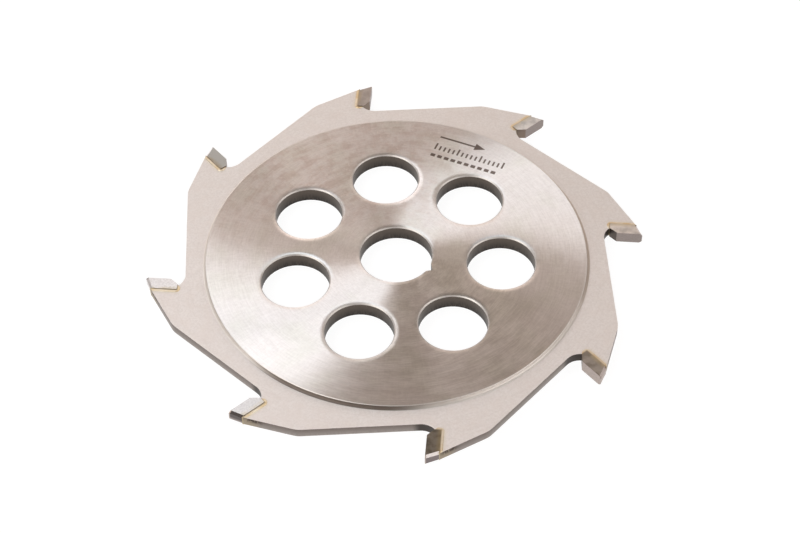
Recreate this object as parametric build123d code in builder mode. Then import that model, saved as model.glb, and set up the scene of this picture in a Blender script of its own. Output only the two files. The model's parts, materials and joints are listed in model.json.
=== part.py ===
from build123d import *
import math
import os

# Grooving saw blade: a steel body with a thick ground hub and a thinner rim,
# and eight carbide cutting tips, each brazed into a seat at the front of its tooth.
# The origin is the middle of the bore at half thickness, and +Z is the arbor's axis.
# Seen from above, the blade turns clockwise, so "behind" a tip is counter-clockwise.

# Main sizes, in millimetres and degrees
tip_circle = 110.0
cut_width = 2.8
bore_diameter = 16.0
rim_width = 13.0  # from the tip circle in to the hub's edge
side_clearance = 0.3  # from the side of a tip to the rim's face

# Hub, raised above the rim's face on both sides
hub_rise = 0.8
hub_foot_radius = 0.6
hub_edge_break = 0.15

# Lightening holes round the bore, and the bore's edge
hole_count = 7
hole_diameter = 15.0
hole_circle = 46.4
first_hole_angle = 95.3
hole_chamfer = 0.25
bore_chamfer = 0.25

# Nick in the bore's wall: a long flat and a short flat that meet in a corner
nick_depth = 1.25
nick_angle = -31.5
nick_long_side = 13.5
nick_short_side = 8.0

# Teeth: the back of each has a short flat behind the tip and a long one down to the gullet
tooth_count = 8
first_tooth_angle = 5.4
gullet_drop = 1.75  # from the front of the tip's seat down to the gullet's floor
kink_drop = 3.4  # from the tip circle down to where the two flats meet
kink_behind = 15.7
kink_radius = 5.0

# Carbide tips
hook_angle = 11.0
clearance_angle = 14.0
side_relief_angle = 1.5
tip_thickness = 2.8
face_length = 5.6
bevel_length = 1.6  # inward from the end of the cutting face to the tip's seated end
heel_length = 1.45
tip_chamfer = 0.5
tip_corner_radius = 0.3

# Braze metal between a tip and its seat
braze_gap = 0.15
braze_spread = 0.55  # over the rim's faces beside the seat
braze_proud = 0.1

# Worked out from the sizes above
tip_radius = tip_circle / 2
hub_radius = tip_radius - rim_width
rim_thickness = cut_width - 2 * side_clearance
hub_thickness = rim_thickness + 2 * hub_rise
largest_foot = 0.95 * (hub_rise - hub_edge_break)
tooth_pitch = 360.0 / tooth_count
tip_length = face_length + bevel_length
land_drop = tip_thickness * math.tan(math.radians(hook_angle + clearance_angle))
heel_start = tip_thickness - heel_length
side_relief = tip_thickness * math.tan(math.radians(side_relief_angle))


def polar_point(radius, angle):
    return Vector(radius, 0, 0).rotate(Axis.Z, angle)


def tip_plane(tooth):
    """Plane at a tooth's cutting edge: X runs outward along the cutting face, and Y behind it."""
    turned = Location((0, 0, 0), (0, 0, first_tooth_angle + tooth * tooth_pitch))
    return Plane(turned * Location((tip_radius, 0, 0), (0, 0, -hook_angle)))


def seat_point(tooth, inward, behind):
    """Point of a tooth's seat, beside the point of its tip at these distances."""
    beside = Vector(-inward - braze_gap, behind + braze_gap, 0)
    return tip_plane(tooth).from_local_coords(beside)


seat_corner_radius = seat_point(0, tip_length, tip_thickness).length
gullet_floor_radius = seat_point(0, tip_length, heel_start).length - gullet_drop
kink_at_radius = tip_radius - kink_drop


def rim_outline():
    """Edge of the rim: for each tooth its gullet, tip seat, short back flat and long back flat."""
    for tooth in range(tooth_count):
        angle = first_tooth_angle + tooth * tooth_pitch
        gullet_floor = polar_point(gullet_floor_radius, angle)
        kink = polar_point(kink_at_radius, angle + kink_behind)
        kink_before = polar_point(kink_at_radius, angle + kink_behind - tooth_pitch)
        seat_front = seat_point(tooth, tip_length, heel_start)
        seat_corner = seat_point(tooth, tip_length, tip_thickness)
        seat_mouth = seat_point(tooth, land_drop, tip_thickness)
        Line(kink_before, gullet_floor)
        TangentArc(gullet_floor, seat_front, tangent=gullet_floor - kink_before)
        Polyline(seat_front, seat_corner, seat_mouth, kink)


def at_radius(radius):
    """Selector for vertices that lie on a circle round the blade's axis."""
    return lambda vertex: math.isclose(math.hypot(vertex.X, vertex.Y), radius, abs_tol=1e-4)


# Steel body
with BuildPart() as blade_body:
    with BuildSketch():
        with BuildLine():
            rim_outline()
        make_face()
        fillet(vertices().filter_by(at_radius(seat_corner_radius)), tip_corner_radius + braze_gap)
        fillet(vertices().filter_by(at_radius(kink_at_radius)), kink_radius)
    extrude(amount=rim_thickness / 2, both=True)

    # Hub, with a hollow radius at its foot and its edge just broken
    with BuildSketch():
        Circle(hub_radius)
    extrude(amount=hub_thickness / 2, both=True)
    circles = edges().filter_by(GeomType.CIRCLE)
    hub_rounds = circles.filter_by(lambda edge: math.isclose(edge.radius, hub_radius))
    hub_levels = hub_rounds.group_by(Axis.Z)
    fillet(hub_levels[1] + hub_levels[-2], min(hub_foot_radius, largest_foot))
    chamfer(hub_levels[0] + hub_levels[-1], hub_edge_break)

    # Bore and lightening holes, chamfered on both faces
    Hole(bore_diameter / 2)
    chamfer(edges(Select.LAST).filter_by(GeomType.CIRCLE), bore_chamfer)
    with PolarLocations(hole_circle / 2, hole_count, start_angle=first_hole_angle):
        Hole(hole_diameter / 2)
    chamfer(edges(Select.LAST).filter_by(GeomType.CIRCLE), hole_chamfer)

    # Nick in the bore's wall, cut right through
    with BuildSketch():
        with BuildLine():
            Polyline(
                (0, 0),
                polar_point(bore_diameter / 2, nick_angle + nick_long_side),
                polar_point(bore_diameter / 2 + nick_depth, nick_angle),
                polar_point(bore_diameter / 2, nick_angle - nick_short_side),
                close=True,
            )
        make_face()
    extrude(amount=hub_thickness, both=True, mode=Mode.SUBTRACT)

os.makedirs("parts", exist_ok=True)
blade_body.part.label = "blade_body"
export_step(blade_body.part, "parts/blade_body.step")


def make_tip(plane):
    """Carbide tip, ground with hook, clearance and side relief, its outer corners chamfered."""
    with BuildPart() as tip:
        with BuildSketch(plane):
            with BuildLine():
                Polyline(
                    (0, 0),
                    (-face_length, 0),
                    (-tip_length, heel_start),
                    (-tip_length, tip_thickness),
                    (-land_drop, tip_thickness),
                    close=True,
                )
            make_face()
            seated_corner = vertices().sort_by_distance((-tip_length, tip_thickness))[0]
            fillet(seated_corner, tip_corner_radius)
        extrude(amount=cut_width / 2, both=True)

        # Side relief: the tip narrows behind its cutting face
        with BuildSketch(Plane(origin=plane.origin, x_dir=plane.y_dir, z_dir=plane.x_dir)):
            with BuildLine():
                Polyline(
                    (0, cut_width / 2),
                    (tip_thickness, cut_width / 2 - side_relief),
                    (tip_thickness, side_relief - cut_width / 2),
                    (0, -cut_width / 2),
                    close=True,
                )
            make_face()
        extrude(amount=tip_length, both=True, mode=Mode.INTERSECT)

        land = faces().sort_by(Axis(plane.origin, plane.x_dir))[-1]
        chamfer(land.edges().filter_by(Axis.Z, reverse=True), tip_chamfer)
    return tip


def joint_face(plane, width):
    """L-shaped face behind and under a tip, reaching this far from the tip."""
    inner_corner = (-tip_length, tip_thickness)
    outer_corner = (-tip_length - width, tip_thickness + width)
    with BuildSketch(plane) as joint:
        with BuildLine():
            Polyline(
                (-tip_length, heel_start),
                inner_corner,
                (-land_drop, tip_thickness),
                (-land_drop - width, tip_thickness + width),
                outer_corner,
                (-tip_length - width, heel_start + width),
                close=True,
            )
        make_face()
        fillet(vertices().sort_by_distance(inner_corner)[0], tip_corner_radius)
        fillet(vertices().sort_by_distance(outer_corner)[0], tip_corner_radius + width)
    return joint.sketch


def make_braze(plane):
    """Braze metal: a film between tip and seat, and a thin sloping bead on both rim faces."""
    film = joint_face(plane, braze_gap)
    bead = joint_face(plane.offset(rim_thickness / 2), braze_gap + braze_spread)
    with BuildPart() as braze:
        extrude(film, amount=rim_thickness / 2 + braze_proud)
        extrude(bead, amount=braze_proud, taper=45)
        mirror(about=Plane.XY)
    return braze


for tooth in range(tooth_count):
    carbide_tip = make_tip(tip_plane(tooth))
    carbide_tip.part.label = f"carbide_tip_{tooth + 1}"
    export_step(carbide_tip.part, f"parts/carbide_tip_{tooth + 1}.step")
    braze = make_braze(tip_plane(tooth))
    braze.part.label = f"braze_{tooth + 1}"
    export_step(braze.part, f"parts/braze_{tooth + 1}.step")
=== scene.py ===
import json
import math

import bpy
from mathutils import Matrix, Quaternion, Vector


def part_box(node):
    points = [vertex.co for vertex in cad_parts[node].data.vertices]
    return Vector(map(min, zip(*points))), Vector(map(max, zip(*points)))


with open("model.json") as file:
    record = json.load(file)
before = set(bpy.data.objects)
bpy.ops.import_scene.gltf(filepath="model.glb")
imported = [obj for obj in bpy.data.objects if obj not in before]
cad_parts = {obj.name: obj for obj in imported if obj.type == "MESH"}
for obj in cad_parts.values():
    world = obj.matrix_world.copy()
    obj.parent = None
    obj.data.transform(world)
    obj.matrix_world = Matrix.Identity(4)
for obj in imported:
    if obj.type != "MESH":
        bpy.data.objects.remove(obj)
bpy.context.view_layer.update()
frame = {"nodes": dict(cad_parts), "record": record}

MM = 0.001
DEGREE = math.pi / 180
HAIR = 0.01 * MM  # the least distance that a mask tells apart

# The camera, solved from the photograph
PHOTO_WIDTH = 800
FOCAL_PIXELS = 1973.0
SENSOR_WIDTH = 36.0
CAMERA_ELEVATION = 48.50 * DEGREE
CAMERA_ROLL = -0.933 * DEGREE
CAMERA_DISTANCE = 434.5 * MM
CAMERA_TARGET = Vector((0.80, -1.98, 0.0)) * MM

# Sizes of the blade that the finishes follow
BODY_LOW, BODY_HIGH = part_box("blade_body")
HUB_HALF = BODY_HIGH.z
HUB_RADIUS = 42.0 * MM
HUB_FOOT = 0.6 * MM
HUB_EDGE_BREAK = 0.15 * MM
RIM_HALF = 1.1 * MM
BORE_RADIUS = 8.0 * MM
HOLE_RADIUS = 7.5 * MM
HOLE_CHAMFER = 0.25 * MM
HOLE_CIRCLE_RADIUS = 23.2 * MM
HOLE_PITCH = 360.0 / 7 * DEGREE
FIRST_HOLE = 95.3 * DEGREE
TIP_RADIUS = 55.0 * MM
TIP_THICKNESS = 2.8 * MM
TIP_LENGTH = 7.2 * MM
FACE_LENGTH = 5.6 * MM
HOOK = 11.0 * DEGREE
FIRST_TOOTH = 5.4 * DEGREE
TOOTH_PITCH = 45.0 * DEGREE

# The etched mark: three rows on the hub, running down to the right
MARK_DIRECTION = -24.0 * DEGREE
MARK_START = -5.0 * MM
MARK_STROKE = 0.42 * MM
MARK_EDGE = 0.06 * MM
ARROW_ROW = 37.6 * MM
ARROW_LENGTH = 11.2 * MM
ARROW_HEAD = 2.6 * MM
ARROW_SLOPE = 0.42
TICK_ROW = 34.4 * MM
TICK_ROW_LENGTH = 17.2 * MM
TICK_PITCH = 1.1 * MM
TICKS_TO_TALL_ONE = 5
TALL_TICK = 2.0 * MM
SHORT_TICK = 1.4 * MM
BLOCK_ROW = 31.5 * MM
BLOCK_ROW_LENGTH = 16.5 * MM
BLOCK_PITCH = 1.65 * MM
BLOCK_WIDTH = 1.15 * MM
BLOCK_HEIGHT = 0.9 * MM

# Directions on the blade, seen from its axis, in which a tone changes: where painted shade or a painted
# glint lies
HUB_FRONT = -68 * DEGREE
HUB_RIGHT = -25 * DEGREE
FOOT_FRONT_LEFT = 251 * DEGREE
FOOT_FRONT_RIGHT = 303 * DEGREE
FOOT_RIGHT = 5 * DEGREE
SHADED_TIPS_LINE = 300 * DEGREE

# The ring-shaped marks of the hub lean more away from this radius, and waver, as the tips' marks do
UNLEANED_RADIUS = 28.6 * MM
LEAN_PER_LENGTH = 0.70 * DEGREE / MM
HUB_WAVER = 8 * DEGREE
TIP_WAVER = 10 * DEGREE

# Colours of the hub's ground face, and the tones that it is multiplied by in places: stains, tints, and
# painted shade at the front and right
HUB_DARK = (0.76, 0.758, 0.755)
HUB_PALE = (0.925, 0.925, 0.925)
DUST = (0.91, 0.88, 0.86)
ETCHED = (0.10, 0.07, 0.055)
STAIN_TONE = (0.80, 0.73, 0.70)
GREENISH_TONE = (0.93, 0.95, 0.91)
FRONT_PAINTED_SHADE = (0.815, 0.795, 0.775)
RIGHT_PAINTED_SHADE = (0.845, 0.83, 0.815)
PATCH_PAINTED_SHADE = (0.88, 0.87, 0.86)
PAINTED_SHADE_STREAKS = (1.06, 1.06, 1.06)

# Colours of the hub's foot, with its painted shade and painted glint
FOOT_DARK = (0.74, 0.69, 0.64)
FOOT_PALE = (0.88, 0.84, 0.80)
FOOT_SHADE = (0.21, 0.175, 0.15)
FOOT_GLINT = (1.0, 0.96, 0.91)
FOOT_RIGHT_PAINTED_SHADE = (0.70, 0.65, 0.61)

# Colours of the rim's faces, and the painted shade towards the back
RIM_DARK = (0.83, 0.795, 0.77)
RIM_PALE = (0.91, 0.88, 0.86)
RIM_CLOUD = (0.85, 0.795, 0.76)
RIM_RING = (0.77, 0.72, 0.69)
RIM_BACK_PAINTED_SHADE = (0.92, 0.92, 0.915)
GOLDEN_HAZE = (0.78, 0.70, 0.51)

# Colours of the walls in the holes and round the rim, with painted shade and painted dark reflection on
# them, and of the chamfers of the holes, with a painted cool reflection
HOLE_BOTTOM_OXIDE_AND_SHADE = (0.020, 0.016, 0.014)
HOLE_TOP = (0.142, 0.112, 0.090)
HOLE_MARK = (0.10, 0.08, 0.064)
HOLE_MOTTLE = (0.17, 0.14, 0.12)
WALL_BOTTOM = (0.42, 0.37, 0.345)
WALL_TOP_DARK_REFLECTION = (0.22, 0.18, 0.16)
WALL_MARK = (0.30, 0.255, 0.23)
GULLET_PAINTED_SHADE = (0.07, 0.058, 0.05)
HEAT_TINT = (0.45, 0.37, 0.26)
TOP_EDGE_DARK_REFLECTION = (0.04, 0.02, 0.012)
CHAMFER_DARK = (0.74, 0.71, 0.68)
CHAMFER_PALE = (0.88, 0.86, 0.83)
CHAMFER_BACK_PAINTED_REFLECTION = (0.76, 0.80, 0.84)

# Colours of the tips' sides: lit copies as painted highlight, shaded copies as painted shade, and a golden
# tint near the braze
LIT_SIDE_LEFT_DARK = (0.69, 0.68, 0.675)
LIT_SIDE_LEFT_PALE = (0.81, 0.805, 0.80)
LIT_SIDE_FRONT_LEFT_SHADE = (0.82, 0.82, 0.82)
LIT_SIDE_RIGHT_DARK = (0.48, 0.475, 0.455)
LIT_SIDE_RIGHT_PALE = (0.69, 0.675, 0.645)
SHADED_SIDE_FRONT_DARK = (0.19, 0.18, 0.15)
SHADED_SIDE_FRONT_PALE = (0.34, 0.325, 0.28)
SHADED_SIDE_BACK_DARK = (0.43, 0.41, 0.39)
SHADED_SIDE_BACK_PALE = (0.53, 0.51, 0.49)
SHADED_SIDE_RIGHT_DARK = (0.29, 0.275, 0.245)
SHADED_SIDE_RIGHT_PALE = (0.43, 0.415, 0.385)
SHADED_SIDE_BACK_LEFT_REFLECTION = (0.68, 0.75, 0.76)
BESIDE_BRAZE = (0.50, 0.42, 0.24)

# Colours of the tips' other faces, most of them painted highlight, painted reflection and painted shade
FACE_LIT_AT_FRONT = (0.51, 0.43, 0.39)
FACE_SHADED_AT_BACK = (0.33, 0.28, 0.26)
FACE_GRAIN = (0.20, 0.165, 0.15)
LAND_LEFT_REFLECTION = (0.42, 0.36, 0.34)
LAND_MIDDLE_REFLECTION = (0.23, 0.19, 0.185)
LAND_RIGHT_REFLECTION = (0.46, 0.365, 0.32)
LAND_FAR_LEFT_REFLECTION = (0.94, 0.92, 0.91)
LAND_SHADE = (0.13, 0.11, 0.105)
CORNER_LEFT_HIGHLIGHT = (0.92, 0.88, 0.87)
CORNER_RIGHT_HIGHLIGHT = (0.62, 0.55, 0.52)
CORNER_SHADE = (0.05, 0.042, 0.04)
BEVEL_LEFT = (0.25, 0.19, 0.15)
BEVEL_RIGHT_PAINTED_SHADOW = (0.10, 0.08, 0.07)

# Colours of the braze metal
BRAZE_GOLD = (0.77, 0.64, 0.42)
BRAZE_PALE = (0.84, 0.77, 0.62)
BRAZE_AT_TIP = (0.34, 0.27, 0.16)
BRAZE_SPECK = (0.50, 0.40, 0.26)

# Colours of the studio's light: its walls, its smaller softboxes and its main one
WARM = (1.0, 0.82, 0.725)
PALE = (1.0, 0.95, 0.91)
COOL = (0.90, 0.945, 1.0)

# The floor, and the levels of the studio's walls in front, at the sides and everywhere
FLOOR_HALF_WIDTH = 3.0
FLOOR_LIT_SHARE = 0.16
FLOOR_GLOW = 0.93
FRONT_LEVEL = 0.08
SIDE_LEVEL = 0.35
DIM_LEVEL = 0.04


def add_camera():
    back = Vector((0.0, -math.cos(CAMERA_ELEVATION), math.sin(CAMERA_ELEVATION)))
    data = bpy.data.cameras.new("camera")
    data.sensor_fit = "HORIZONTAL"
    data.sensor_width = SENSOR_WIDTH
    data.lens = FOCAL_PIXELS / PHOTO_WIDTH * SENSOR_WIDTH
    data.clip_start = 0.01
    data.clip_end = 10.0
    camera = bpy.data.objects.new("camera", data)
    camera.location = CAMERA_TARGET + back * CAMERA_DISTANCE
    camera.rotation_mode = "QUATERNION"
    level = (-back).to_track_quat("-Z", "Y")
    camera.rotation_quaternion = level @ Quaternion((0.0, 0.0, 1.0), CAMERA_ROLL)
    bpy.context.collection.objects.link(camera)
    bpy.context.scene.camera = camera


class Shading:
    """Builds one node tree; values may be numbers or the sockets of other nodes."""

    def __init__(self, tree):
        self.tree = tree
        self.tree.nodes.clear()

    def put(self, socket, value):
        """Link another node's socket to this one, or set this one to a plain value."""
        if isinstance(value, bpy.types.NodeSocket):
            self.tree.links.new(value, socket)
        else:
            socket.default_value = value

    def add(self, kind, inputs=None, **settings):
        """New node of this kind, with these inputs and settings."""
        node = self.tree.nodes.new(kind)
        for key, value in settings.items():
            setattr(node, key, value)
        for key, value in (inputs or {}).items():
            self.put(node.inputs[key], value)
        return node

    def math(self, operation, first, second=0.0):
        inputs = {0: first, 1: second}
        return self.add("ShaderNodeMath", inputs, operation=operation).outputs[0]

    def plus(self, first, *others):
        for other in others:
            first = self.math("ADD", first, other)
        return first

    def minus(self, first, second):
        return self.math("SUBTRACT", first, second)

    def times(self, first, *others):
        for other in others:
            first = self.math("MULTIPLY", first, other)
        return first

    def over(self, first, second):
        return self.math("DIVIDE", first, second)

    def remainder(self, value, pitch):
        """How far the value is past the last whole pitch."""
        return self.math("FLOORED_MODULO", value, pitch)

    def length(self, first, second):
        return self.math("SQRT", self.plus(self.times(first, first), self.times(second, second)))

    def both(self, *masks):
        """Mask that is on where all of these are."""
        return self.times(*masks)

    def either(self, first, *others):
        """Mask that is on where at least one of these is."""
        for other in others:
            first = self.math("MAXIMUM", first, other)
        return first

    def weighed(self, *pairs):
        """Sum of values, each given with its weight."""
        return self.plus(*[self.times(value, weight) for value, weight in pairs])

    def ramp(self, value, low, high, out_low=0.0, out_high=1.0):
        """Goes smoothly from out_low to out_high as the value goes from low to high."""
        inputs = {"Value": value, "From Min": low, "From Max": high, "To Min": out_low, "To Max": out_high}
        return self.add("ShaderNodeMapRange", inputs, interpolation_type="SMOOTHSTEP").outputs[0]

    def fall(self, value, low, high):
        """Goes smoothly from 1 to 0 as the value goes from low to high."""
        return self.ramp(value, low, high, out_low=1.0, out_high=0.0)

    def band(self, value, low, high, edge):
        """Mask that is on between low and high, with soft edges."""
        above = self.ramp(value, low - edge / 2, low + edge / 2)
        below = self.fall(value, high - edge / 2, high + edge / 2)
        return self.times(above, below)

    def stretched(self, noise, low=0.3, high=0.7):
        """Noise whose middle range, from low to high, fills the range from 0 to 1."""
        return self.ramp(noise, low, high)

    def mix(self, factor, first, second, blend="MIX"):
        node = self.add("ShaderNodeMix", {"Factor": factor}, data_type="RGBA", blend_type=blend)
        for socket, value in zip([s for s in node.inputs if s.type == "RGBA"], (first, second)):
            self.put(socket, (*value, 1.0) if isinstance(value, tuple) else value)
        return [s for s in node.outputs if s.type == "RGBA"][0]

    def painted(self, colour, paint, mask):
        """The colour, covered by another one where the mask is on."""
        return self.mix(mask, colour, paint)

    def toned(self, colour, tone, mask):
        """The colour, multiplied by a tone where the mask is on."""
        return self.mix(mask, colour, tone, blend="MULTIPLY")

    def grade(self, value, low, high, first, second):
        """Colour that goes smoothly from first to second as the value goes from low to high."""
        return self.mix(self.ramp(value, low, high), first, second)

    def noise(self, vector, scale, detail=2.0, roughness=0.5):
        inputs = {"Vector": vector, "Scale": scale, "Detail": detail, "Roughness": roughness}
        return self.add("ShaderNodeTexNoise", inputs).outputs[0]

    def bump(self, height, depth, normal=None):
        """Normal that follows this height, over the surface's own normal or a given one."""
        inputs = {"Height": height, "Distance": depth, "Strength": 1.0}
        if normal is not None:
            inputs["Normal"] = normal
        return self.add("ShaderNodeBump", inputs).outputs[0]

    def vector(self, x, y, z):
        return self.add("ShaderNodeCombineXYZ", {"X": x, "Y": y, "Z": z}).outputs[0]

    def split(self, vector):
        return self.add("ShaderNodeSeparateXYZ", {0: vector}).outputs

    def blend(self, factor, first, second):
        return self.add("ShaderNodeMixShader", {0: factor, 1: first, 2: second}).outputs[0]

    def metal(self, colour, roughness, metallic=1.0, **others):
        """Metal shader; the other inputs are named as its sockets are."""
        inputs = {"Base Color": colour, "Roughness": roughness, "Metallic": metallic}
        inputs.update({name.title(): value for name, value in others.items()})
        return self.add("ShaderNodeBsdfPrincipled", inputs).outputs[0]


class Surface(Shading):
    """A finish on the blade: knows where a point lies on it."""

    def __init__(self, name):
        self.material = bpy.data.materials.new(name)
        self.material.use_nodes = True
        super().__init__(self.material.node_tree)
        self.point = self.add("ShaderNodeTexCoord").outputs["Object"]
        self.x, self.y, self.z = self.split(self.point)
        self.level = self.math("ABSOLUTE", self.z)
        self.radius = self.length(self.x, self.y)
        self.angle = self.math("ARCTAN2", self.y, self.x)
        self.side = self.math("SIGN", self.z)
        normal = self.split(self.add("ShaderNodeNewGeometry").outputs["True Normal"])
        self.facing_back = normal["Y"]
        self.facing_up_or_down = self.math("ABSOLUTE", normal["Z"])

    def across(self, lean):
        """Direction across ring-shaped marks that lean inwards by this angle."""
        cosine = self.math("COSINE", lean)
        sine = self.math("SINE", lean)
        x = self.minus(self.times(self.x, cosine), self.times(self.y, sine))
        y = self.plus(self.times(self.x, sine), self.times(self.y, cosine))
        return self.vector(self.over(x, self.radius), self.over(y, self.radius), 0.0)

    def fold(self, first, pitch):
        """Angle from the nearest of a ring of places that are this far apart."""
        turned = self.plus(self.angle, pitch / 2 - first)
        return self.minus(self.remainder(turned, pitch), pitch / 2)

    def toward(self, direction, low, high, twist=0.0):
        """Mask that comes on in this direction from the axis, between two cosines of the angle off it."""
        off = self.minus(self.plus(self.angle, twist), direction)
        return self.ramp(self.math("COSINE", off), low, high)

    def tilted(self, outward, sideways, upward):
        """Normal made of these amounts away from the axis, round it, and off the blade's face."""
        x = self.over(self.minus(self.times(self.x, outward), self.times(self.y, sideways)), self.radius)
        y = self.over(self.plus(self.times(self.y, outward), self.times(self.x, sideways)), self.radius)
        raw = self.vector(x, y, self.times(upward, self.side))
        return self.add("ShaderNodeVectorMath", {0: raw}, operation="NORMALIZE").outputs[0]

    def foot_normal(self):
        """Normal of the hollow round at the hub's foot, whose centre is above the rim."""
        outward = self.minus(HUB_RADIUS + HUB_FOOT, self.radius)
        upward = self.minus(RIM_HALF + HUB_FOOT, self.level)
        return self.tilted(self.either(outward, HAIR), 0.0, self.either(upward, 0.0))

    def rolled_edges(self, width, most):
        """Normal of the hub's face, which rolls over a little towards the holes and the bore."""
        folded = self.fold(FIRST_HOLE, HOLE_PITCH)
        cosine = self.math("COSINE", folded)
        sine = self.math("SINE", folded)
        x = self.minus(self.times(self.radius, cosine), HOLE_CIRCLE_RADIUS)
        y = self.times(self.radius, sine)
        off_centre = self.length(x, y)
        outward = self.over(self.plus(self.times(x, cosine), self.times(y, sine)), off_centre)
        sideways = self.over(self.minus(self.times(y, cosine), self.times(x, sine)), off_centre)
        hole_edge = HOLE_RADIUS + HOLE_CHAMFER
        bore_edge = BORE_RADIUS + HOLE_CHAMFER
        to_hole = self.ramp(off_centre, hole_edge, hole_edge + width, out_low=-most, out_high=0.0)
        to_bore = self.ramp(self.radius, bore_edge, bore_edge + width, out_low=most, out_high=0.0)
        return self.tilted(self.minus(self.times(outward, to_hole), to_bore),
                           self.times(sideways, to_hole), 1.0)

    def rings(self, length, width, detail=2.0):
        """Streaks that run round the axis, of about this length in radians and this width."""
        x = self.over(self.x, self.times(self.radius, length))
        y = self.over(self.y, self.times(self.radius, length))
        return self.noise(self.vector(x, y, self.times(self.radius, 1.0 / width)), 1.0, detail)

    def tooth_place(self):
        """Place beside the nearest tip: outward along its cutting face, and behind that face."""
        folded = self.fold(FIRST_TOOTH, TOOTH_PITCH)
        x = self.minus(self.times(self.radius, self.math("COSINE", folded)), TIP_RADIUS)
        y = self.times(self.radius, self.math("SINE", folded))
        outward = self.minus(self.times(x, math.cos(HOOK)), self.times(y, math.sin(HOOK)))
        behind = self.plus(self.times(x, math.sin(HOOK)), self.times(y, math.cos(HOOK)))
        return outward, behind

    def mark_band(self, value, low, high):
        """Mask that is on between low and high, with the mark's crisp edges."""
        return self.band(value, low, high, MARK_EDGE)

    def arrow(self, along, up):
        """Mask of the arrow."""
        off_row = self.math("ABSOLUTE", self.minus(up, ARROW_ROW))
        head_start = ARROW_LENGTH - ARROW_HEAD
        in_stroke = self.fall(off_row, MARK_STROKE / 2, MARK_STROKE / 2 + MARK_EDGE)
        shaft = self.both(self.mark_band(along, 0.0, head_start), in_stroke)
        head_half = self.times(self.minus(ARROW_LENGTH, along), ARROW_SLOPE)
        in_slope = self.ramp(self.minus(head_half, off_row), 0.0, MARK_EDGE)
        head = self.both(self.mark_band(along, head_start, ARROW_LENGTH), in_slope)
        return self.either(shaft, head)

    def ticks(self, along, up):
        """Mask of the row of ticks, in which each fifth is tall."""
        place = self.remainder(along, TICK_PITCH)
        stroke = self.mark_band(place, MARK_EDGE, MARK_EDGE + MARK_STROKE)
        group_place = self.remainder(along, TICKS_TO_TALL_ONE * TICK_PITCH)
        at_tall_one = self.mark_band(group_place, -MARK_EDGE, TICK_PITCH / 2)
        foot = TICK_ROW - TALL_TICK / 2
        short = self.mark_band(up, foot, foot + SHORT_TICK)
        tall = self.both(at_tall_one, self.mark_band(up, foot, foot + TALL_TICK))
        return self.both(stroke, self.either(short, tall), self.mark_band(along, 0.0, TICK_ROW_LENGTH))

    def blocks(self, along, up):
        """Mask of the row of blocks."""
        place = self.remainder(along, BLOCK_PITCH)
        return self.both(self.mark_band(place, MARK_EDGE, BLOCK_WIDTH),
                         self.mark_band(up, BLOCK_ROW - BLOCK_HEIGHT / 2, BLOCK_ROW + BLOCK_HEIGHT / 2),
                         self.mark_band(along, 0.0, BLOCK_ROW_LENGTH))

    def etched_mark(self):
        """Mask of the mark: an arrow for the turning direction, a row of ticks and a row of blocks."""
        cosine = math.cos(MARK_DIRECTION)
        sine = math.sin(MARK_DIRECTION)
        along = self.plus(self.times(self.x, cosine), self.times(self.y, sine), -MARK_START)
        up = self.minus(self.times(self.y, cosine), self.times(self.x, sine))
        on_top = self.ramp(self.z, 0.0, HUB_HALF)
        return self.both(on_top, self.either(self.arrow(along, up), self.ticks(along, up),
                                             self.blocks(along, up)))

    def finish(self, shader):
        self.add("ShaderNodeOutputMaterial", {"Surface": shader})
        return self.material


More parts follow.
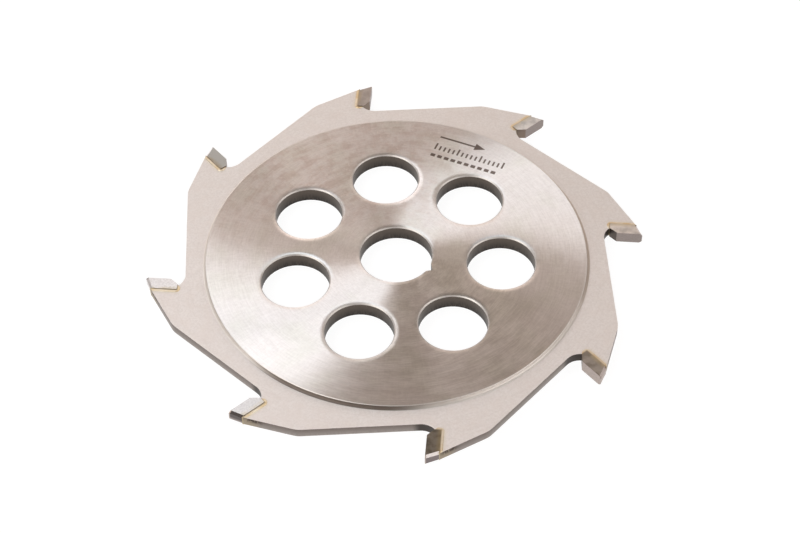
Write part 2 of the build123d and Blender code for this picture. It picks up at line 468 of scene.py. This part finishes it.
def hub_finish(s):
    """Ground face: ring-shaped marks, stains at the back left, and painted shade at the front and right.
    """
    fine = s.rings(length=0.10, width=0.27 * MM, detail=3.0)
    coarse = s.rings(length=0.25, width=0.8 * MM)
    crossed = s.rings(length=0.013, width=3.0 * MM)
    grain = s.noise(s.point, 1.7 / MM, detail=3.0, roughness=0.7)
    marks = s.weighed((s.stretched(fine, 0.32, 0.68), 0.35), (s.stretched(coarse), 0.1),
                      (s.stretched(crossed), 0.2), (s.stretched(grain), 0.35))
    colour = s.mix(marks, HUB_DARK, HUB_PALE)

    # Brown stains and pale dust, most at the back left, and a greenish tint in large clouds
    cloud = s.weighed((s.noise(s.point, 0.36 / MM, detail=4.0, roughness=0.6), 0.6),
                      (s.rings(length=0.2, width=1.6 * MM, detail=3.0), 0.4))
    tint = s.noise(s.point, 0.12 / MM)
    speck = s.noise(s.point, 1.3 / MM)
    stained = s.both(s.ramp(s.y, 0.0, 20 * MM, out_low=0.12, out_high=1.0),
                     s.ramp(s.x, 0.0, 28 * MM, out_low=1.0, out_high=0.12))
    stain = s.times(s.ramp(cloud, 0.40, 0.64, out_low=0.1, out_high=0.8), stained)
    dust = s.times(s.ramp(speck, 0.60, 0.72, out_high=0.5), stained)
    colour = s.toned(colour, STAIN_TONE, stain)
    colour = s.toned(colour, GREENISH_TONE, s.ramp(tint, 0.4, 0.7, out_high=0.8))
    colour = s.painted(colour, DUST, dust)

    # Painted shade at the front and right, whose sides curve with the lean of the marks, in patches, and
    # lifted a little along the fine marks in front
    lean = s.times(s.minus(s.radius, UNLEANED_RADIUS), LEAN_PER_LENGTH)
    shade_at_front = s.toward(HUB_FRONT, 0.60, 0.85, twist=lean)
    shade_at_right = s.toward(HUB_RIGHT, 0.72, 0.95, twist=lean)
    patch = s.rings(length=0.2, width=2.5 * MM, detail=3.0)
    colour = s.toned(colour, FRONT_PAINTED_SHADE, shade_at_front)
    colour = s.toned(colour, RIGHT_PAINTED_SHADE, shade_at_right)
    colour = s.toned(colour, PATCH_PAINTED_SHADE, s.both(shade_at_front, s.stretched(patch, 0.38, 0.62)))
    colour = s.toned(colour, PAINTED_SHADE_STREAKS, s.both(shade_at_front, s.stretched(fine, 0.38, 0.62)))
    colour = s.painted(colour, ETCHED, s.times(s.etched_mark(), 0.9))

    # The marks' lean grows away from the axis, and wavers
    waver = s.times(s.minus(s.plus(fine, coarse, crossed), 1.5), HUB_WAVER)
    tangent = s.across(s.plus(lean, waver))
    normal = s.bump(fine, 0.0012 * MM, normal=s.rolled_edges(width=1.1 * MM, most=0.16))
    return s.metal(colour, roughness=0.308, anisotropic=1.0, tangent=tangent, normal=normal)


def foot_finish(s):
    """Turned foot of the hub: painted shade at the front left, a painted glint at the front right, and
    painted shade that darkens it at the right.
    """
    fine = s.rings(length=0.6, width=0.12 * MM, detail=3.0)
    colour = s.mix(fine, FOOT_DARK, FOOT_PALE)
    colour = s.painted(colour, FOOT_SHADE, s.toward(FOOT_FRONT_LEFT, 0.86, 0.97))
    colour = s.painted(colour, FOOT_GLINT, s.toward(FOOT_FRONT_RIGHT, 0.93, 0.99))
    colour = s.toned(colour, FOOT_RIGHT_PAINTED_SHADE, s.toward(FOOT_RIGHT, 0.85, 0.97))
    return s.metal(colour, roughness=0.5, metallic=0.55, normal=s.foot_normal())


def rim_finish(s):
    """Matt blasted face, with fine grain, painted shade that grows towards the back, and a faint golden
    haze beside each tip's seat.
    """
    grain = s.noise(s.point, 2.2 / MM, detail=4.0, roughness=0.65)
    cloud = s.noise(s.point, 0.35 / MM, detail=3.0)
    fine = s.rings(length=0.15, width=0.35 * MM)
    colour = s.grade(grain, 0.32, 0.68, RIM_DARK, RIM_PALE)
    colour = s.painted(colour, RIM_CLOUD, s.ramp(cloud, 0.35, 0.7, out_high=0.4))
    colour = s.painted(colour, RIM_RING, s.ramp(fine, 0.5, 0.75, out_high=0.25))
    # Painted shade: the rim grows a little darker towards the back
    colour = s.toned(colour, RIM_BACK_PAINTED_SHADE, s.ramp(s.y, -45 * MM, 35 * MM))
    outward, behind = s.tooth_place()
    beside_seat = s.both(s.ramp(behind, 2.0 * MM, 2.6 * MM), s.fall(behind, TIP_THICKNESS, 4.4 * MM),
                         s.ramp(outward, -TIP_LENGTH - 1.2 * MM, -TIP_LENGTH + 0.6 * MM))
    colour = s.painted(colour, GOLDEN_HAZE, s.times(beside_seat, 0.6))
    return s.metal(colour, roughness=0.56, metallic=0.55, normal=s.bump(grain, 0.006 * MM))


def wall_finish(s):
    """Cut walls: dark oxide and painted shade in the holes, painted shade in the gullets, paler round the
    rim and darker towards its top as a painted dark reflection, with a golden heat tint and a painted dark
    reflection behind a tip.
    """
    mottle = s.noise(s.point, 0.5 / MM, detail=3.0, roughness=0.6)
    long_way = s.vector(s.times(s.x, 3.0 / MM), s.times(s.y, 3.0 / MM), s.times(s.z, 0.7 / MM))
    marks = s.noise(long_way, 1.0, detail=3.0)
    # The holes' walls: dark oxide with painted shade, darkest towards the bottom
    hole = s.grade(s.z, -HUB_HALF, HUB_HALF, HOLE_BOTTOM_OXIDE_AND_SHADE, HOLE_TOP)
    hole = s.painted(hole, HOLE_MARK, s.ramp(marks, 0.38, 0.64, out_high=0.5))
    hole = s.painted(hole, HOLE_MOTTLE, s.ramp(mottle, 0.55, 0.75, out_high=0.3))
    # The rim's walls: paler at the bottom, and darker towards the top as a painted dark reflection
    rim = s.grade(s.z, -RIM_HALF, RIM_HALF, WALL_BOTTOM, WALL_TOP_DARK_REFLECTION)
    rim = s.painted(rim, WALL_MARK, s.ramp(marks, 0.35, 0.7, out_high=0.5))

    # Painted shade in the gullets, the heat's tint behind each tip, and a dark trace at the top of it,
    # painted as a dark reflection
    outward, behind = s.tooth_place()
    shaded_gullet = s.both(s.fall(outward, -5.4 * MM, -4.6 * MM), s.ramp(behind, -3.5 * MM, -1.5 * MM),
                       s.fall(behind, 3 * MM, 4 * MM))
    at_mouth = s.ramp(outward, -5 * MM, -3 * MM)
    heated = s.both(s.ramp(behind, 1.0 * MM, 2.0 * MM), s.fall(behind, 4.0 * MM, 7.0 * MM), at_mouth)
    dark_reflection = s.both(s.band(behind, 3.4 * MM, 6.5 * MM, edge=2.0 * MM), s.ramp(s.z, -0.4 * MM, 0.6 * MM),
                   at_mouth, s.ramp(marks, 0.35, 0.50))
    rim = s.painted(rim, GULLET_PAINTED_SHADE, shaded_gullet)
    rim = s.painted(rim, HEAT_TINT, s.times(heated, 0.8))
    rim = s.painted(rim, TOP_EDGE_DARK_REFLECTION, s.times(dark_reflection, 0.95))
    in_hole = s.fall(s.radius, HUB_RADIUS - 0.5 * MM, HUB_RADIUS)
    colour = s.mix(in_hole, rim, hole)
    return s.metal(colour, roughness=0.45, metallic=0.6, normal=s.bump(marks, 0.01 * MM))


def chamfer_finish(s):
    """Bright countersunk edges of the holes and the bore, with a cooler, darker painted reflection where
    they face the back.
    """
    fine = s.noise(s.point, 1.6 / MM, detail=3.0)
    colour = s.mix(fine, CHAMFER_DARK, CHAMFER_PALE)
    colour = s.toned(colour, CHAMFER_BACK_PAINTED_REFLECTION, s.ramp(s.facing_back, 0.0, 0.5))
    return s.metal(colour, roughness=0.48, metallic=0.8)


def steel_finish():
    """The body's faces, chamfers and walls, told apart by their slope, and the foot of its hub."""
    s = Surface("body_steel")
    foot_top = HUB_HALF - HUB_EDGE_BREAK - HAIR
    in_foot = s.both(s.band(s.radius, HUB_RADIUS - 0.1 * MM, HUB_RADIUS + HUB_FOOT, edge=2 * HAIR),
                     s.band(s.level, RIM_HALF, foot_top, edge=HAIR))
    on_hub = s.ramp(s.level, HUB_HALF - 2 * HAIR, HUB_HALF - HAIR)
    is_face = s.ramp(s.facing_up_or_down, 0.80, 0.85)
    is_wall = s.fall(s.facing_up_or_down, 0.45, 0.55)
    faces = s.blend(on_hub, rim_finish(s), hub_finish(s))
    sloped = s.blend(is_face, chamfer_finish(s), faces)
    shader = s.blend(is_wall, sloped, wall_finish(s))
    return s.finish(s.blend(in_foot, shader, foot_finish(s)))


def carbide_side(s, grain, cloud, behind):
    """Sides of the tips, with ring-shaped marks: a painted highlight on some teeth and painted shade on
    the others, golden near the braze.
    """
    # Lit copies of the carbide for the painted highlight, with painted shade towards the front left
    lit_left = s.grade(grain, 0.3, 0.7, LIT_SIDE_LEFT_DARK, LIT_SIDE_LEFT_PALE)
    lit_left = s.toned(lit_left, LIT_SIDE_FRONT_LEFT_SHADE, s.fall(s.y, -35 * MM, -15 * MM))
    lit_right = s.grade(cloud, 0.35, 0.65, LIT_SIDE_RIGHT_DARK, LIT_SIDE_RIGHT_PALE)
    lit_sides = s.grade(s.x, -20 * MM, 20 * MM, lit_left, lit_right)
    # Shaded copies for the painted shade, darkest at the front, paler at the right and palest at the back
    shaded_front = s.grade(cloud, 0.35, 0.65, SHADED_SIDE_FRONT_DARK, SHADED_SIDE_FRONT_PALE)
    shaded_back = s.grade(cloud, 0.35, 0.65, SHADED_SIDE_BACK_DARK, SHADED_SIDE_BACK_PALE)
    shaded_right = s.grade(cloud, 0.35, 0.65, SHADED_SIDE_RIGHT_DARK, SHADED_SIDE_RIGHT_PALE)
    shaded_front = s.grade(s.x, 15 * MM, 35 * MM, shaded_front, shaded_right)
    shaded_sides = s.grade(s.y, -30 * MM, 30 * MM, shaded_front, shaded_back)
    # A pale, cool painted reflection on the shaded teeth at the back left
    at_back_left = s.both(s.ramp(s.y, 5 * MM, 20 * MM), s.fall(s.x, -35 * MM, -20 * MM))
    shaded_sides = s.painted(shaded_sides, SHADED_SIDE_BACK_LEFT_REFLECTION, at_back_left)

    # Teeth near the line through 120 and 300 degrees get the painted shade, and the others the painted
    # highlight
    near_line = s.math("ABSOLUTE", s.math("COSINE", s.minus(s.angle, SHADED_TIPS_LINE)))
    colour = s.grade(near_line, 0.5, 0.9, lit_sides, shaded_sides)
    golden = s.both(s.ramp(behind, 1.7 * MM, TIP_THICKNESS, out_high=0.55), s.ramp(cloud, 0.3, 0.6))
    colour = s.painted(colour, BESIDE_BRAZE, golden)
    fine = s.rings(length=0.1, width=0.2 * MM)
    tangent = s.across(s.times(s.minus(fine, 0.5), TIP_WAVER))
    return s.metal(colour, roughness=0.30, anisotropic=0.95, tangent=tangent)


def carbide_edge(s, grain, outward, behind):
    """The tips' other faces: cutting face, land, outer chamfers and bevel, with painted highlight, painted
    reflection and painted shade that differ by the tooth.
    """
    # The cutting face: paler at the front and darker at the back as painted light and shade, with grain
    cutting_face = s.grade(s.y, -38 * MM, 5 * MM, FACE_LIT_AT_FRONT, FACE_SHADED_AT_BACK)
    cutting_face = s.painted(cutting_face, FACE_GRAIN, s.ramp(grain, 0.3, 0.7, out_high=0.25))
    # Where painted shade falls on the tips at the front left
    painted_shade_front_left = s.both(s.band(s.x, -46 * MM, -24 * MM, edge=2 * MM),
                           s.fall(s.y, -20 * MM, -10 * MM))
    # The land: a painted reflection that changes across the blade, with painted shade on its upper part at
    # the front left
    land = s.grade(s.x, -25 * MM, 0.0, LAND_LEFT_REFLECTION, LAND_MIDDLE_REFLECTION)
    land = s.painted(land, LAND_RIGHT_REFLECTION, s.ramp(s.x, 5 * MM, 40 * MM))
    land = s.painted(land, LAND_FAR_LEFT_REFLECTION, s.fall(s.x, -50 * MM, -40 * MM))
    upper_part = s.ramp(s.z, -0.9 * MM, 0.1 * MM)
    land = s.painted(land, LAND_SHADE, s.both(painted_shade_front_left, upper_part))
    # The outer chamfer: a painted highlight, paler to the left, with painted shade at the front left
    chamfer = s.grade(s.x, 10 * MM, 30 * MM, CORNER_LEFT_HIGHLIGHT, CORNER_RIGHT_HIGHLIGHT)
    chamfer = s.painted(chamfer, CORNER_SHADE, painted_shade_front_left)
    # The bevel: dark brown, and darker to the right as the gullet's painted shadow
    bevel = s.grade(s.x, 30 * MM, 50 * MM, BEVEL_LEFT, BEVEL_RIGHT_PAINTED_SHADOW)

    # Which of the faces a point lies on
    is_land = s.both(s.ramp(behind, 0.15 * MM, 0.3 * MM), s.ramp(outward, -2.2 * MM, -1.8 * MM))
    is_chamfer = s.both(s.ramp(s.facing_up_or_down, 0.3, 0.4), is_land)
    is_bevel = s.fall(outward, -FACE_LENGTH - 0.15 * MM, -FACE_LENGTH)
    colour = s.painted(cutting_face, land, is_land)
    colour = s.painted(colour, bevel, is_bevel)
    colour = s.painted(colour, chamfer, is_chamfer)
    return s.metal(colour, roughness=0.36, metallic=0.8)


def carbide_finish():
    """Ground carbide of the tips."""
    s = Surface("carbide")
    grain = s.noise(s.point, 2.4 / MM, detail=3.0)
    cloud = s.noise(s.point, 0.5 / MM)
    outward, behind = s.tooth_place()
    side = carbide_side(s, grain, cloud, behind)
    edge = carbide_edge(s, grain, outward, behind)
    return s.finish(s.blend(s.ramp(s.facing_up_or_down, 0.85, 0.95), edge, side))


def braze_finish():
    """Brass-coloured braze metal, in uneven tones and dark against the tip."""
    s = Surface("braze")
    flow = s.noise(s.point, 0.45 / MM)
    grain = s.noise(s.point, 2.0 / MM)
    outward, behind = s.tooth_place()
    off_tip = s.either(s.minus(behind, TIP_THICKNESS), s.minus(s.times(outward, -1.0), TIP_LENGTH))
    colour = s.grade(flow, 0.38, 0.62, BRAZE_GOLD, BRAZE_PALE)
    at_tip = s.ramp(off_tip, 0.05 * MM, 0.35 * MM, out_low=0.7, out_high=0.0)
    colour = s.painted(colour, BRAZE_AT_TIP, at_tip)
    colour = s.painted(colour, BRAZE_SPECK, s.ramp(grain, 0.55, 0.8, out_high=0.3))
    return s.finish(s.metal(colour, roughness=0.42, normal=s.bump(grain, 0.01 * MM)))


def dress_cad_nodes():
    finishes = {"body_steel": steel_finish(), "carbide": carbide_finish(), "braze": braze_finish()}
    slots = {part["node"]: part["material_slot"] for part in frame["record"]["subparts"]}
    for name, node in frame["nodes"].items():
        node.data.materials.clear()
        node.data.materials.append(finishes[slots[name]])


def add_floor():
    """White floor: its own glow reaches the camera and reflections, and its lit share keeps the shadow."""
    mesh = bpy.data.meshes.new("floor")
    half = FLOOR_HALF_WIDTH
    corners = [(-half, -half, 0), (half, -half, 0), (half, half, 0), (-half, half, 0)]
    mesh.from_pydata(corners, [], [(0, 1, 2, 3)])
    floor = bpy.data.objects.new("floor", mesh)
    floor.location.z = BODY_LOW.z
    bpy.context.collection.objects.link(floor)
    material = bpy.data.materials.new("floor")
    material.use_nodes = True
    s = Shading(material.node_tree)
    path = s.add("ShaderNodeLightPath").outputs
    seen = s.either(path["Is Camera Ray"], path["Is Glossy Ray"], path["Is Transmission Ray"])
    grey = (FLOOR_LIT_SHARE, FLOOR_LIT_SHARE, FLOOR_LIT_SHARE, 1.0)
    lit = s.add("ShaderNodeBsdfDiffuse", {"Color": grey}).outputs[0]
    glow = s.add("ShaderNodeEmission", {"Strength": s.times(seen, FLOOR_GLOW)}).outputs[0]
    both = s.add("ShaderNodeAddShader", {0: lit, 1: glow}).outputs[0]
    s.add("ShaderNodeOutputMaterial", {"Surface": both})
    mesh.materials.append(material)


def add_softbox(name, radiance, colour, azimuth, elevation, distance, size, roll=0.0):
    """Rectangular lamp that faces the blade from this direction; the angles are in degrees."""
    azimuth *= DEGREE
    elevation *= DEGREE
    toward = Vector((math.cos(elevation) * math.cos(azimuth), math.cos(elevation) * math.sin(azimuth),
                     math.sin(elevation)))
    level = Vector((0.0, 0.0, 1.0)).cross(toward).normalized()
    turned = Quaternion(toward, roll * DEGREE) @ level
    axes = Matrix((turned, toward.cross(turned), toward)).transposed()
    data = bpy.data.lights.new(name, "AREA")
    data.shape = "RECTANGLE"
    data.size, data.size_y = size
    data.energy = math.pi * size[0] * size[1] * radiance
    data.color = colour
    lamp = bpy.data.objects.new(name, data)
    lamp.matrix_world = Matrix.Translation(toward * distance) @ axes.to_4x4()
    bpy.context.collection.objects.link(lamp)


def add_lamps():
    add_softbox("softbox_main", radiance=2.03, colour=COOL,
                azimuth=141, elevation=54, distance=0.61, size=(0.34, 0.45), roll=12)
    add_softbox("softbox_left", radiance=2.15, colour=PALE,
                azimuth=214, elevation=36, distance=0.75, size=(0.65, 0.65))
    add_softbox("softbox_right", radiance=1.35, colour=PALE,
                azimuth=336, elevation=31, distance=0.75, size=(1.0, 0.52))
    add_softbox("softbox_back", radiance=1.4, colour=WARM,
                azimuth=97, elevation=16, distance=0.50, size=(0.24, 0.20))
    add_softbox("softbox_far_right", radiance=0.55, colour=PALE,
                azimuth=62, elevation=25, distance=0.45, size=(0.20, 0.20))


def add_world():
    """Warm studio: bright behind, a little light in front and low at the sides, dim elsewhere."""
    world = bpy.data.worlds.new("world")
    bpy.context.scene.world = world
    world.use_nodes = True
    s = Shading(world.node_tree)
    x, y, z = s.split(s.add("ShaderNodeTexCoord").outputs["Generated"])
    behind = s.either(y, 0.0)
    front = s.either(s.times(y, -1.0), 0.0)
    back_level = s.times(s.math("POWER", behind, 3.0), s.ramp(y, 0.78, 0.95, out_low=2.0, out_high=0.8))
    front_level = s.times(front, front, FRONT_LEVEL)
    side_level = s.times(s.ramp(s.math("ABSOLUTE", x), 0.3, 0.7), s.fall(y, 0.0, 0.5),
                         s.ramp(z, 0.12, 0.28, out_low=SIDE_LEVEL, out_high=0.0))
    level = s.plus(back_level, front_level, side_level, DIM_LEVEL)
    sky = s.add("ShaderNodeBackground", {"Color": (*WARM, 1.0), "Strength": level})
    s.add("ShaderNodeOutputWorld", {"Surface": sky.outputs[0]})


add_camera()
dress_cad_nodes()
add_floor()
add_world()
add_lamps()

bpy.context.scene.view_settings.view_transform = "Standard"
